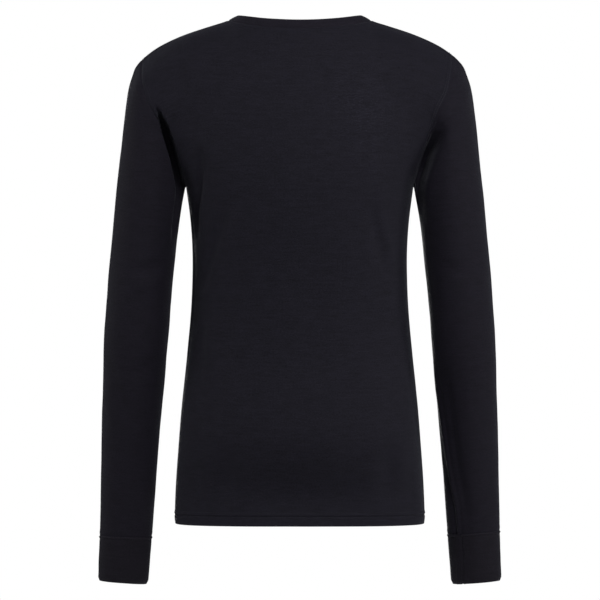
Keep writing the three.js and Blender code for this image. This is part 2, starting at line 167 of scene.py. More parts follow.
ARMPIT_FLOORS = dict(left=4.0, right=-5.0)
TUCK_START = 0.7  # share of a fold's width over which its bottom slides under the edge
FAR = 1e9

# Soft folds: depth is how far a trough goes in, width its half width, and path its x, z as seen from
# behind or in front. A negative depth is a ridge.
BODY_FOLDS = dict(
    back=[
        (10.0, 38, [(-110, -652), (-40, -658), (60, -655), (120, -650)]),
        (6.5, 4.5, [(137, -186), (138.5, -203), (139.5, -220), (141.5, -241), (144, -262), (143, -300)]),
        (3.5, 7, [(131, -190), (133, -220), (136, -250)]),
        (3.0, 12, [(148, -250), (150, -300), (148, -380), (150, -440)]),
        (4.5, 9, [(102, -262), (112, -297), (123, -328), (134, -366)]),
        (4.0, 13, [(134, -366), (137, -430), (138, -515)]),
        (-1.8, 9, [(120, -400), (123, -450), (124, -505)]),
        (2.5, 9, [(-98, -268), (-107, -305), (-117, -345)]),
        (-1.8, 6, [(-108, -264), (-118, -305), (-126, -342)]),
        (-1.6, 9, [(-110, -215), (-111, -275)]),
        (2.5, 12, [(-118, -585), (-123, -650)]),
        (-1.5, 10, [(-138, -560), (-143, -640)]),
        (3.0, 12, [(96, -590), (106, -650)]),
        (-1.2, 12, [(122, -575), (128, -650)]),
        (1.4, 10, [(150, -455), (152, -515)]),
        (1.0, 16, [(-60, -40), (-105, -90), (-150, -120)]),
        (1.0, 14, [(70, -60), (120, -110), (150, -150)]),
    ],
    front=[
        (4.0, 12, [(136, -196), (124, -226), (104, -252)]),
        (-1.5, 9, [(120, -190), (104, -214), (84, -236)]),
        (3.5, 11, [(-140, -200), (-124, -236), (-108, -268)]),
        (-1.4, 9, [(-122, -196), (-104, -226), (-88, -250)]),
        (4.0, 11, [(110, -300), (124, -350), (133, -420)]),
        (3.0, 12, [(-114, -310), (-127, -366), (-134, -450)]),
        (3.0, 14, [(64, -560), (72, -640)]),
        (3.0, 14, [(-76, -545), (-88, -640)]),
        (1.6, 10, [(-60, -300), (-20, -330), (40, -340)]),
        (1.4, 9, [(20, -372), (70, -362), (112, -350)]),
        (1.2, 12, [(-30, -520), (-34, -620)]),
    ],
)

# Where the cloth is finely crinkled: strength, middle x, z and half sizes
CRINKLES = dict(
    back=[(1.0, -92, -142, 34, 48), (0.5, -60, -100, 40, 40), (0.35, 82, -85, 26, 36)],
    front=[(0.5, 60, -210, 36, 40)],
)


def cubic(start, end, leaving, arriving, t):
    """Curve from start to end whose slopes at its ends are given."""
    return (start * (2 * t**3 - 3 * t**2 + 1) + end * (3 * t**2 - 2 * t**3)
            + leaving * (t**3 - 2 * t**2 + t) + arriving * (t**3 - t**2))


def hermite(keys, values, at):
    """Smooth curve through a table's column, at any shape of places."""
    at = np.clip(np.asarray(at, float), keys[0], keys[-1])
    last = len(keys) - 1
    low = np.clip(np.searchsorted(keys, at, side="left") - 1, 0, last - 1)
    before, after = np.maximum(np.arange(last + 1) - 1, 0), np.minimum(np.arange(last + 1) + 1, last)
    slopes = (values[after] - values[before]) / (keys[after] - keys[before])
    span = keys[low + 1] - keys[low]
    t = (at - keys[low]) / span
    return cubic(values[low], values[low + 1], span * slopes[low], span * slopes[low + 1], t)


def smooth(t):
    t = np.clip(t, 0.0, 1.0)
    return t * t * (3 - 2 * t)


def mix(a, b, t):
    return a + (b - a) * t


def unit(v):
    return v / np.maximum(np.linalg.norm(v, axis=-1, keepdims=True), 1e-12)


def nearest_on_leg(start, end, x, z):
    """Where on a path's leg, as a share and as x and z, it comes closest to each point x, z."""
    (ax, az), (bx, bz) = start, end
    share = ((x - ax) * (bx - ax) + (z - az) * (bz - az)) / ((bx - ax) ** 2 + (bz - az) ** 2)
    t = np.clip(share, 0, 1)
    return t, mix(ax, bx, t), mix(az, bz, t)


# Shape of the torso, yoke and sleeves


def sink_armpits(grid):
    """Press the back of the cloth in along the armpits' folds."""
    grid = grid.copy()
    for side, sign in SIDES.items():
        x, y, z = sign * grid[..., 0], grid[..., 1], grid[..., 2]
        nearest, share, edge = np.full_like(x, FAR), np.zeros_like(x), np.ones_like(x)
        outwards, tuck = np.zeros_like(x), np.zeros_like(x)
        points = np.array(list(ARMPITS[side].values())).T
        for start, end in zip(points[:-1], points[1:]):
            t, px, pz = nearest_on_leg(start[:2], end[:2], x, z)
            leg_share, inner, outer, leg_tuck = (mix(a, b, t) for a, b in zip(start[2:], end[2:]))
            width = np.where(x < px, inner, outer)
            distance = np.hypot(x - px, z - pz) / width
            nearer = distance < nearest
            nearest = np.where(nearer, distance, nearest)
            share = np.where(nearer, leg_share, share)
            edge = np.where(nearer, np.where(x < px, *ARMPIT_EDGES[side]), edge)
            outwards = np.where(nearer, (x - px) / width, outwards)
            tuck = np.where(nearer, leg_tuck, tuck)
        inwards = share * np.exp(-(np.minimum(nearest, 9) ** edge))
        grid[..., 1] -= inwards * np.maximum(y - ARMPIT_FLOORS[side], 0)
        grid[..., 0] += sign * tuck * inwards * smooth(outwards * np.sign(tuck) / TUCK_START)
    return grid


def torso(face, u, z):
    """Torso points at the shares u across (middle 0, side seams 1 and -1) and heights z."""
    u, z = np.broadcast_arrays(u, z)
    at = lambda name: hermite(TORSO["z"], TORSO[name], z)
    angle = np.abs(u) * math.pi / 2
    across = np.sin(angle) ** (2 / SQUARENESS)
    deep = np.maximum(np.cos(angle), 0) ** (2 / SQUARENESS)
    return np.stack([np.sign(u) * at("half_width") * across, mix(at("seam_y"), at(face), deep), z], -1)


def upper_edge(face, u):
    """Neckline, then shoulder seam."""
    share = np.abs(u)
    tip = np.where(u < 0, SHOULDER_TIP["right"], SHOULDER_TIP["left"])
    angle = np.minimum(share / NECK_SHARE, 1) * math.pi / 2
    inwards = np.maximum(np.cos(angle), 0)
    line = NECKLINE[face]
    along = np.maximum(share - NECK_SHARE, 0) / (1 - NECK_SHARE)
    x = mix(NECK_HALF_WIDTH, tip, along)
    reach = x - NECK_HALF_WIDTH
    outwards = reach / (SHOULDER["half_width"] - NECK_HALF_WIDTH)
    z = -SHOULDER["slope"] * reach - SHOULDER["tip_drop"] * outwards ** SHOULDER["roundness"]
    in_neck = share <= NECK_SHARE
    return np.stack([
        np.where(u < 0, -1, 1) * np.where(in_neck, NECK_HALF_WIDTH * np.sin(angle), x),
        np.where(in_neck, mix(SHOULDER["neck_y"], line["y"], inwards),
                 mix(SHOULDER["neck_y"], SHOULDER["tip_y"], along)),
        np.where(in_neck, -line["drop"] * inwards**NECK_EASE, z),
    ], -1)


def seam_curve(points):
    """Centripetal curve through points, as dense points with their share of its length."""
    p = np.array(points, float)
    p = np.concatenate([[2 * p[0] - p[1]], p, [2 * p[-1] - p[-2]]])
    dense = []
    t = np.linspace(0, 1, 60)[:, None]
    for i in range(1, len(p) - 2):
        d0, d1, d2 = (np.linalg.norm(p[i + k] - p[i + k - 1]) ** 0.5 for k in (0, 1, 2))
        m1 = ((p[i] - p[i - 1]) / d0 - (p[i + 1] - p[i - 1]) / (d0 + d1) + (p[i + 1] - p[i]) / d1) * d1
        m2 = ((p[i + 1] - p[i]) / d1 - (p[i + 2] - p[i]) / (d1 + d2) + (p[i + 2] - p[i + 1]) / d2) * d1
        part = cubic(p[i], p[i + 1], m1, m2, t)
        dense.append(part if i == 1 else part[1:])
    dense = np.concatenate(dense)
    length = np.concatenate([[0], np.cumsum(np.linalg.norm(np.diff(dense, axis=0), axis=1))])
    return length / length[-1], dense


ARMHOLE_CURVES = {}
for face in DEPTHS:
    for side, sign in SIDES.items():
        inner = [(sign * x, y, z) for x, y, z in ARMHOLE[face][side]]
        ends = torso(face, sign, UNDERARM_Z), upper_edge(face, np.array(sign))
        ARMHOLE_CURVES[face, side] = seam_curve([ends[0], *inner, ends[1]])


def armhole(face, side, t):
    """Points of an armhole's seam at the shares t of its length up from the underarm."""
    share, points = ARMHOLE_CURVES[face, side]
    return np.stack([np.interp(t, share, points[:, k]) for k in range(3)], -1)


def yoke_columns(face, u, t):
    """Yoke points on columns that rise from the torso at u and bend over to the shoulder or neckline."""
    at = lambda name: hermite(YOKE[face]["u"], YOKE[face][name], np.abs(u))
    sign = np.sign(u)
    base = torso(face, u, UNDERARM_Z)
    leaving = base + np.stack([sign * at("spread"), DEPTHS[face] * at("lean"), at("rise")], -1)
    bend = np.stack([sign * at("x"), at("y"), at("z")], -1)
    top = upper_edge(face, u)
    t = np.asarray(t)[:, None, None]
    s = 1 - t
    return base * s**3 + leaving * 3 * s**2 * t + bend * 3 * s * t**2 + top * t**3


def yoke(face, u, t):
    """Yoke points, with the outer columns drawn to the armholes."""
    points = yoke_columns(face, u, t)
    for side, sign in SIDES.items():
        pull = armhole(face, side, t) - yoke_columns(face, np.array([sign]), t)[:, 0]
        hold = np.where(np.sign(u) == sign, np.abs(u) ** ARMHOLE_PULL, 0)
        points = points + hold[None, :, None] * pull[:, None, :]
    return points


def grid_normals(grid, closed):
    """Outward normals where columns run anticlockwise and rows up."""
    if closed:
        across = np.roll(grid, -1, 1) - np.roll(grid, 1, 1)
    else:
        across = np.gradient(grid, axis=1)
    return unit(np.cross(across, np.gradient(grid, axis=0)))


def lengths(grid, axis):
    """Distance along a grid's rows (axis 1) or columns (axis 0) from their start."""
    steps = np.linalg.norm(np.diff(grid, axis=axis), axis=-1)
    pad = [(0, 0), (0, 0)]
    pad[axis] = (1, 0)
    return np.cumsum(np.pad(steps, pad), axis=axis)


# Bare shapes of the panels, sleeves and neckband, which meet at the seams

AROUND = 144  # columns round a sleeve, closer together at the underarm
HALF_AROUND = AROUND // 2
EVEN = np.linspace(0, 1, HALF_AROUND + 1)
HALF_SHARES = EVEN - 0.45 * np.sin(math.pi * EVEN) / math.pi
RING_ANGLES = math.pi * np.concatenate([HALF_SHARES, 2 - HALF_SHARES[-2:0:-1]])
SLEEVE_RADIUS = 34.0
FROM_UNDERARM = np.minimum(RING_ANGLES, 2 * math.pi - RING_ANGLES)[None, :] * SLEEVE_RADIUS
SLEEVE_ROWS = 220
EASE_ROWS = 14  # more rows, between the armhole and the first section
PAST_ARMPIT = 30  # the first row that lies across the arm
HALF_COLUMNS = 72
HALF_PANEL = 1 - (1 - np.linspace(0, 1, HALF_COLUMNS + 1)) ** 1.35
ACROSS = np.concatenate([HALF_PANEL[::-1], -HALF_PANEL[1:]])  # left seam to right seam, as seen from behind
HEM_ROWS = np.linspace(-BODY_LENGTH + DOUBLED / 2, -BODY_LENGTH + HEM_HEIGHT + 2, 26)
BODY_ROWS = np.concatenate([HEM_ROWS, np.linspace(HEM_ROWS[-1], UNDERARM_Z, 140)[1:]])
YOKE_SHARES = 1 - (1 - np.linspace(0, 1, 81)[1:]) ** 1.25
TURN_UP_ROWS = 20  # rows of a panel in which the hem's cloth lies double
STITCH_ROWS = (-676.2, -681.6)  # heights of the hem's twin needle rows
NEEDLES = (1.9, 5.2)  # distances of the twin needle rows from the armhole seams


def armhole_loop(side):
    """Up the back from the underarm and down the front."""
    back, front = (armhole(face, side, HALF_SHARES) for face in DEPTHS)
    return np.concatenate([back, front[-2:0:-1]])


def sleeve_rings(section, side, loop):
    """Rings of a sleeve or cuff. section holds one value a ring for each column."""
    sign = SIDES[side]
    zero = np.zeros_like(section["inner_x"])
    inner = np.stack([sign * section["inner_x"], zero, section["inner_z"]], -1)
    outer = np.stack([sign * section["outer_x"], zero, section["outer_z"]], -1)
    middle_y = (section["back"] + section["front"]) / 2
    half_depth = (section["back"] - section["front"]) / 2
    underarm, tip = loop[0], loop[HALF_AROUND]
    chord = (tip - underarm) * [1, 0, 1]
    span = np.linalg.norm(chord)
    chord /= span
    axis = sign * np.array([chord[2], 0, -chord[0]])
    from_underarm = loop - underarm
    seam_share = from_underarm @ chord / span
    seam_bulge = from_underarm @ axis
    width = outer - inner
    bulge = sign * unit(np.stack([width[:, 2], zero, -width[:, 0]], -1))
    hold = section["armhole"][:, None]
    share = mix((1 - np.cos(RING_ANGLES))[None] / 2, seam_share[None], hold)
    points = inner[:, None] + width[:, None] * share[..., None]
    points = points + bulge[:, None] * (seam_bulge[None] * hold)[..., None]
    level = middle_y[:, None] + half_depth[:, None] * np.sin(RING_ANGLES)[None]
    points[..., 1] = mix(level, loop[None, :, 1], hold)
    return points


def sleeve_sections(side):
    """The sleeve's table, with the last section level with the side's own cuff seam."""
    sections = {name: column.copy() for name, column in SLEEVE.items()}
    sections["inner_z"][-1], sections["outer_z"][-1] = CUFF_SEAM[side]
    return sections


def sleeve_base(side):
    """Rings from the armhole to the cuff, eased out of the armhole, with outward normals."""
    loop = armhole_loop(side)
    sections = sleeve_sections(side)
    stations = len(sections["back"]) - 1
    ramp = np.linspace(0, 1, SLEEVE_ROWS) ** 1.12 * stations
    section = {name: hermite(sections["station"], column, ramp) for name, column in sections.items()}
    rings = sleeve_rings(section, side, loop)
    chord = rings[0] - loop
    leave = unit(rings[1] - rings[0]) * np.linalg.norm(chord, axis=-1, keepdims=True)
    t = np.linspace(0, 1, EASE_ROWS)[:-1, None, None]
    start = 1.5 * chord - 0.5 * leave
    eased = cubic(loop, rings[0], start, leave, t)
    grid = sink_armpits(np.concatenate([eased, rings]))
    return grid, outward(grid, side)


def ease_neck_points(grid):
    """Smooth the columns under the neck points, leaving the edge as it is."""
    to_top = lengths(grid, 0)[-1:] - lengths(grid, 0)
    near = smooth(to_top / 10) * (1 - smooth((to_top - 70) / 50))
    near = near * np.exp(-(((np.abs(ACROSS) - NECK_SHARE) / 0.14) ** 2))
    eased = grid
    for _ in range(12):
        eased = mix(eased, (np.roll(eased, 1, 1) + np.roll(eased, -1, 1)) / 2, near[..., None] * 0.7)
    return eased


def outward(grid, side):
    """Outward normals of rings that run down an arm."""
    return -grid_normals(grid, True) if side == "right" else grid_normals(grid, True)


BAND_STEPS = np.linspace(0, 4, 240, endpoint=False)  # left neck point, back, right, front


def neckband_base():
    """The band's grid from its foot up, with outward normals and its rows' heights."""
    step = BAND_STEPS
    foot = np.where((step <= 2)[:, None], upper_edge("back", NECK_SHARE * (1 - step)),
                    upper_edge("front", NECK_SHARE * (step - 3)))
    tangents = unit(np.roll(foot, -1, 0) - np.roll(foot, 1, 0))
    backwards = np.sin(step * math.pi / 2)
    middle = np.where(backwards > 0, BAND_STEEPNESS["back"], BAND_STEEPNESS["front"])
    steepness = np.radians(mix(BAND_STEEPNESS["neck_point"], middle, np.abs(backwards) ** 0.8))
    inwards = np.stack([-foot[:, 0] / NECK_HALF_WIDTH, -backwards, np.zeros(len(step))], -1)
    inwards = unit((inwards - tangents * (inwards * tangents).sum(-1, keepdims=True)) * [1, 1, 0])
    leans = unit(inwards * np.cos(steepness)[:, None] + np.array([0, 0, 1.0]) * np.sin(steepness)[:, None])
    outwards = unit(np.cross(tangents, leans))
    up = np.concatenate([np.linspace(0, 0.2, 8), np.linspace(0.2, 1, 14)[1:]]) * (BAND_HEIGHT - DOUBLED / 2)
    lift = 0.6 * np.sin(math.pi * np.clip(up / BAND_HEIGHT, 0, 1)) - 0.5 * (up / BAND_HEIGHT) ** 2
    grid = foot[None] + leans[None] * up[:, None, None] + outwards[None] * lift[:, None, None]
    return grid, grid_normals(grid, True), up


PANEL_BASES = {}
for face in DEPTHS:
    u = ACROSS * DEPTHS[face]
    grid = np.concatenate([torso(face, u[None, :], BODY_ROWS[:, None]), yoke(face, u, YOKE_SHARES)])
    grid = ease_neck_points(sink_armpits(grid))
    PANEL_BASES[face] = grid, grid_normals(grid, False)
SLEEVE_BASES = {side: sleeve_base(side) for side in SIDES}
BAND_BASE = neckband_base()

# Normals of the neighbours along each seam
ARMHOLE_NORMALS = {}
for side in SIDES:
    ring = SLEEVE_BASES[side][1][0]
    ARMHOLE_NORMALS["back", side] = HALF_SHARES, ring[:HALF_AROUND + 1]
    ARMHOLE_NORMALS["front", side] = HALF_SHARES, np.concatenate([ring[:1], ring[:HALF_AROUND - 1:-1]])


def panel_edge(face, side):
    """Column of a panel's side seam and armhole."""
    return 0 if SIDES[side] == DEPTHS[face] else -1


def panel_normals_at_armhole(side):
    """Normals of the panels at the points of the sleeve's first ring."""
    parts = {}
    for face in DEPTHS:
        edge = PANEL_BASES[face][1][len(BODY_ROWS) - 1:, panel_edge(face, side)]
        parts[face] = blend_rows(np.concatenate([[0], YOKE_SHARES]), edge, HALF_SHARES)
    return np.concatenate([parts["back"], parts["front"][-2:0:-1]])


def panel_normals_at_neck():
    """Normals of the panels at the points of the neckband's foot."""
    back_u, front_u = NECK_SHARE * (1 - BAND_STEPS), NECK_SHARE * (BAND_STEPS - 3)
    back = blend_rows(ACROSS[::-1], PANEL_BASES["back"][1][-1, ::-1], back_u)
    front = blend_rows(-ACROSS, PANEL_BASES["front"][1][-1], front_u)
    return np.where((BAND_STEPS <= 2)[:, None], back, front)


def band_normals_at(face, u):
    """Normals of the neckband's foot at a panel's neckline."""
    step = 1 - u / NECK_SHARE if face == "back" else 3 + u / NECK_SHARE
    foot = BAND_BASE[1][0]
    return blend_rows(np.append(BAND_STEPS, 4), np.concatenate([foot, foot[:1]]), step)


def blend_rows(at, values, wanted):
    """Vectors given at some places, read at the wanted ones."""
    return np.stack([np.interp(wanted, at, values[..., k]) for k in range(3)], -1)


# Relief of the cloth

FOLD_END = 0.35  # share of a fold's depth that is left at its ends


def fold_depth(folds, x, z):
    """Depth of a list of folds, each deepest in the middle of its path."""
    total = np.zeros_like(x)
    for depth, width, path in folds:
        path = np.array(path, float)
        legs = np.linalg.norm(np.diff(path, axis=0), axis=1)
        nearest = np.full_like(x, FAR)
        where = np.zeros_like(x)
        before = 0.0
        for start, end, leg in zip(path[:-1], path[1:], legs):
            t, px, pz = nearest_on_leg(start, end, x, z)
            distance = np.hypot(x - px, z - pz)
            nearer = distance < nearest
            nearest = np.where(nearer, distance, nearest)
            where = np.where(nearer, (before + t * leg) / legs.sum(), where)
            before += leg
        strength = mix(FOLD_END, 1, np.sin(math.pi * where))
        total += depth * strength * np.exp(-((nearest / width) ** 2))
    return total


def undulation(points, seed, size, height):
    """Gentle unevenness of cloth that isn't pulled quite tight."""
    shape = points.shape[:-1]
    flat = points.reshape(-1, 3) / size
    offset = Vector((seed * 7.3, seed * 3.1, seed * 5.7))
    values = [noise.noise(Vector(p) + offset) for p in flat]
    return height * np.array(values).reshape(shape)


def bump(distance, at, width):
    return np.exp(-(((distance - at) / width) ** 2))


def allowance(distance, width, height):
    """Raised strip beside a seam, where the seam allowance lies under the cloth."""
    return height * smooth((distance + 0.2) / 1.6) * (1 - smooth((distance - width + 0.8) / 1.8))


# Seams: pieces that meet share one direction along the seam, so that no gap shows between them

GROOVE, SEAM_WIDTH = 0.5, 2.2
ARMHOLE_GROOVES = dict(left=1.1, right=0.5)
GROOVE_WIDTHS = dict(left=1.2, right=2.0)


def join(moves, depths, seam, distance, groove=GROOVE, width=SEAM_WIDTH):
    """Draw a piece's edge into the shared groove of a seam, and turn its wall to the seam's direction."""
    hold = np.exp(-((distance / width) ** 2))[..., None]
    return mix(moves, -groove * seam, hold), unit(mix(depths, -seam, hold))


# Meshes

ROUND_STEPS = 5  # faces round a free edge


def add_object(name, data):
    thing = bpy.data.objects.new(name, data)
    bpy.context.collection.objects.link(thing)
    return thing


def make_piece(name, outer, inner, uv, wear_and_seam_highlight, closed, round_first=False, round_last=False, crinkle=None):
    """Wall between an outer and an inner grid: a tube, or a panel with its first edge rounded."""
    def rounded(near, far, away, edge):
        """Rows from near to far round a free edge."""
        middle, half = (near + far) / 2, (near - far) / 2
        radius = np.linalg.norm(half, axis=-1, keepdims=True)
        angles = [math.pi * k / ROUND_STEPS for k in range(1, ROUND_STEPS)]
        between = [middle + half * math.cos(a) + away * radius * math.sin(a) for a in angles]
        return between, [uv[edge]] * len(between), [wear_and_seam_highlight[edge]] * len(between)

    rows, columns = outer.shape[:2]
    parts = [(outer, uv, wear_and_seam_highlight)]
    if round_last:
        parts.append(rounded(outer[-1], inner[-1], unit(outer[-1] - outer[-2]), -1))
    parts.append((inner[::-1], uv[::-1], wear_and_seam_highlight[::-1]))
    if round_first:
        parts.append(rounded(inner[0], outer[0], unit(outer[0] - outer[1]), 0))
    grid, grid_uv, grid_wear_and_seam_highlight = (np.concatenate(same) for same in zip(*parts))
    total = len(grid)
    # Faces go right round the wall's cross-section, and round the tube too where it is closed
    at = lambda row, column: row * columns + column
    r = np.arange(total)[:, None]
    c = np.arange(columns if closed else columns - 1)[None, :]
    r2, c2 = (r + 1) % total, (c + 1) % columns
    faces = np.stack([at(r, c), at(r, c2), at(r2, c2), at(r2, c)], -1).reshape(-1, 4)
    faces = [tuple(f) for f in faces.tolist()]
    corner_uv = np.stack([grid_uv[r, c], grid_uv[r, c + 1], grid_uv[r2, c + 1], grid_uv[r2, c]], -2)
    corner_uv = corner_uv.reshape(-1, 2)
    if not closed:
        for edge, turn in ((0, 1), (columns - 1, -1)):
            o = [at(k, edge) for k in range(rows)]
            i = [at(2 * rows - 1 - k, edge) for k in range(rows)]
            faces += [(o[k], o[k + 1], i[k + 1], i[k])[::turn] for k in range(rows - 1)]
            fan = [at(k % total, edge) for k in range(total - ROUND_STEPS, total + 1)]
            faces.append(tuple(fan[::turn]))
            corner_uv = np.concatenate([corner_uv, np.repeat(uv[:-1, edge], 4, axis=0),
                                        np.repeat(uv[:1, edge], len(fan), axis=0)])
    mesh = bpy.data.meshes.new(name)
    mesh.from_pydata((grid.reshape(-1, 3) * MM).tolist(), [], faces)
    layer = mesh.uv_layers.new(name="cloth")
    layer.data.foreach_set("uv", (corner_uv * MM).ravel())
    # Per point: wear at free edges, and a painted highlight along seams and on the cuff's bead
    layer = mesh.attributes.new("wear_and_seam_highlight", "FLOAT", "POINT")
    layer.data.foreach_set("value", np.clip(grid_wear_and_seam_highlight, 0, 1).ravel())
    if crinkle is not None:
        layer = mesh.attributes.new("crinkle", "FLOAT", "POINT")
        values = np.zeros((total, columns))
        values[:rows] = crinkle
        layer.data.foreach_set("value", values.ravel())
    mesh.polygons.foreach_set("use_smooth", [True] * len(mesh.polygons))
    mesh.validate()
    mesh.set_sharp_from_angle(angle=math.radians(50))
    mesh.update()
    return add_object(name, mesh)


def inner_wall(outer, depths, thickness):
    return outer + depths * thickness[:, None, None]


# Body panels


def body_panel(face):
    """The back or the front, and what its rows of stitches are laid by."""
    grid, normals = PANEL_BASES[face]
    rows = len(BODY_ROWS)
    along = lengths(grid, 1)
    from_start, from_end = along, along[:, -1:] - along
    to_side = np.minimum(from_start, from_end)
    up = lengths(grid, 0)
    to_top = up[-1:] - up
    in_yoke = smooth((np.arange(len(grid)) - rows + 1) / 6)[:, None]
    x, z = grid[..., 0], grid[..., 2]
    fade = smooth(to_side / 16) * smooth(to_top / 16)
    other = "front" if face == "back" else "back"
    relief = -fade * fold_depth(BODY_FOLDS[face], x, z)
    relief += fade * undulation(grid, 3 + DEPTHS[face], np.array([60, 60, 90]), 0.9)
    relief += fade * undulation(grid, 8 + DEPTHS[face], np.array([22, 22, 30]), 0.25)
    # Armhole: seam allowance turned to the body, held by two rows of stitches
    raised = np.where(x > 0, 0.2, mix(0.2, 0.7, smooth((z + 190) / 60)))
    relief += in_yoke * allowance(to_side, 6.5, raised)
    relief -= in_yoke * 0.25 * sum(bump(to_side, needle, 0.7) for needle in NEEDLES)
    relief -= in_yoke * 0.5 * bump(to_side, 0, 0.8)
    # Side seams
    side_fade = 1 - in_yoke
    relief += side_fade * (-0.9 * bump(to_side, 0, 1.3) + 0.5 * allowance(to_side, 6, 0.5))
    # Neckline and shoulder seams
    relief += allowance(to_top, 6.5, 0.5) - 0.95 * bump(to_top, 0, 1.2)
    # Hem: two rows of stitches with a puffed strip between them
    for row, sunk in zip(STITCH_ROWS, (0.3, 0.85)):
        relief -= sunk * bump(z, row, 1.1)
    relief += 0.4 * bump(z, sum(STITCH_ROWS) / 2, 1.6)
    relief += 0.35 * (1 - smooth((z + BODY_LENGTH - HEM_HEIGHT + 1.5) / 2.5))
    moves, depths = normals * relief[..., None], -normals
    other_normals = PANEL_BASES[other][1]
    for side in SIDES:
        edge, other_edge = panel_edge(face, side), panel_edge(other, side)
        shares, sleeve_normals = ARMHOLE_NORMALS[face, side]
        neighbour = other_normals[:, other_edge].copy()
        neighbour[rows:] = blend_rows(shares, sleeve_normals, YOKE_SHARES)
        seam = unit(normals[:, edge] + neighbour)[:, None]
        near = from_start if edge == 0 else from_end
        groove = mix(GROOVE, ARMHOLE_GROOVES[side], in_yoke)[..., None]
        width = mix(SEAM_WIDTH, GROOVE_WIDTHS[side], in_yoke)
        moves, depths = join(moves, depths, seam, near, groove, width)
    in_neck = np.abs(ACROSS) <= NECK_SHARE
    neighbour = np.where(in_neck[:, None], band_normals_at(face, ACROSS * DEPTHS[face]),
                         other_normals[-1, ::-1])
    moves, depths = join(moves, depths, unit(normals[-1] + neighbour)[None], to_top)
    outer = grid + moves
    thickness = np.where(np.arange(len(grid)) < TURN_UP_ROWS, DOUBLED, CLOTH)
    inner = inner_wall(outer, depths, thickness)
    from_middle = from_start - from_start[:, HALF_COLUMNS:HALF_COLUMNS + 1]
    uv = np.stack([from_middle, lengths(grid * [0, 1, 1], 0)], -1)
    # Lighter at the hem's edge from wear, and along the side, armhole, shoulder and neck seams as painted
    # highlight
    wear_and_seam_highlight = 0.8 * np.exp(-(up / 2.5)) + 0.15 * np.exp(-(to_side / 2)) + 0.15 * np.exp(-(to_top / 2))
    crinkle = sum(share * np.exp(-((x - cx) / rx) ** 2 - ((z - cz) / rz) ** 2)
                  for share, cx, cz, rx, rz in CRINKLES[face])
    piece = make_piece(face, outer, inner, uv, wear_and_seam_highlight, False, round_first=True, crinkle=crinkle)
    return piece, dict(outer=outer, normals=normals, to_side=to_side)


def make_tube(name, side, outer, inner, uv, wear_and_seam_highlight, round_lower=False):
    """Piece from rings that run down an arm, turned on the right so that its faces point outwards."""
    if side == "left":
        return make_piece(name, outer, inner, uv, wear_and_seam_highlight, True, round_last=round_lower)
    return make_piece(name, outer[::-1], inner[::-1], uv[::-1], wear_and_seam_highlight[::-1], True, round_first=round_lower)


# Folds of the sleeves, seen from behind (1) or in front (-1), with x away from the body
SLEEVE_FOLDS = dict(
    left=[
        (1, 2.6, 7, [(232, -560), (246, -520), (262, -470)]),
        (1, -1.6, 6, [(256, -568), (262, -535), (267, -502)]),
        (1, 1.8, 8, [(186, -330), (206, -344), (232, -348)]),
        (1, -1.2, 7, [(180, -352), (204, -366), (236, -372)]),
        (1, 1.5, 9, [(196, -470), (222, -486), (250, -480)]),
        (-1, 3.0, 8, [(180, -300), (206, -330), (240, -346)]),
        (-1, 2.5, 8, [(184, -352), (210, -372), (244, -376)]),
        (-1, 2.0, 8, [(188, -395), (212, -420), (240, -426)]),
        (-1, 1.6, 10, [(212, -560), (238, -600), (262, -612)]),
    ],
    right=[
        (1, 1.5, 2.4, [(190, -149), (200, -143), (209, -137)]),
        (1, 1.3, 2.4, [(182, -159), (194, -157), (206, -145)]),
        (1, 1.2, 8, [(190, -330), (212, -346), (238, -352)]),
        (1, 1.5, 10, [(205, -520), (224, -500), (248, -480)]),
        (-1, 3.0, 8, [(182, -306), (208, -334), (240, -350)]),
        (-1, 2.4, 8, [(186, -358), (212, -380), (246, -384)]),
        (-1, 2.0, 9, [(190, -410), (216, -432), (244, -436)]),
        (-1, 1.6, 10, [(210, -570), (236, -606), (262, -620)]),
    ],
)
# Right sleeve: its underarm seam comes round to the back towards the cuff
SEAM_TURNS_BACK, SEAM_TURN_LENGTH = -455, 60
SEAM_ON_BACK = [(186, -470), (191.5, -515), (197.1, -551), (201.9, -586), (207.4, -620), (212.7, -648),
                (217.8, -672), (221.2, -698), (222.6, -714)]
SEAM_ON_CUFF = [(222.6, -708), (225, -732), (226, -764), (226, -780)]


def path_distance(path, x, z):
    """Distance from a path, below 0 on the body's side of it."""
    nearest = np.full_like(x, FAR)
    for start, end in zip(path[:-1], path[1:]):
        _, px, pz = nearest_on_leg(start, end, x, z)
        distance = np.hypot(x - px, z - pz) * np.where(x > px, 1, -1)
        nearest = np.where(np.abs(distance) < np.abs(nearest), distance, nearest)
    return nearest


def sleeve_relief(side, grid, normals, down, to_cuff):
    """How far the cloth of a sleeve stands out from its bare shape."""
    sign = SIDES[side]
    x, z = sign * grid[..., 0], grid[..., 2]
    facing = normals[..., 1]
    fade = smooth(down / 14) * smooth(to_cuff / 14)
    relief = fade * undulation(grid, 20 + sign, np.array([40, 40, 70]), 0.8)
    relief += fade * undulation(grid, 26 + sign, np.array([18, 18, 26]), 0.25)
    for face, depth, width, path in SLEEVE_FOLDS[side]:
        seen = smooth(0.5 + 1.6 * face * facing)
        relief -= fade * seen * fold_depth([(depth, width, path)], x, z)
    # Armhole and cuff seams
    relief += 0.5 * allowance(to_cuff, 6, 0.6) - 0.35 * bump(to_cuff, 0, 1.0)
    # Underarm seam: on the right it rolls round to the back, where it lies on a ridge between two hollows
    if side == "right":
        rolled = smooth((SEAM_TURNS_BACK - z) / SEAM_TURN_LENGTH)
        on_back = smooth(0.4 + 3 * facing) * rolled
        distance = path_distance(SEAM_ON_BACK, x, z)
        ridge = 2.1 * bump(distance, -1.5, 2.8) - 1.2 * bump(distance, 1.8, 1.5)
        hollows = 3.0 * bump(distance, -7.0, 3.2) + 3.4 * bump(distance, 10, 7) * smooth(to_cuff / 60)
        relief += on_back * (ridge - hollows)
        relief -= (1 - rolled) * 0.8 * bump(FROM_UNDERARM, 0, 1.6)
    else:
        relief -= 0.8 * bump(FROM_UNDERARM, 0, 1.6)
    return relief


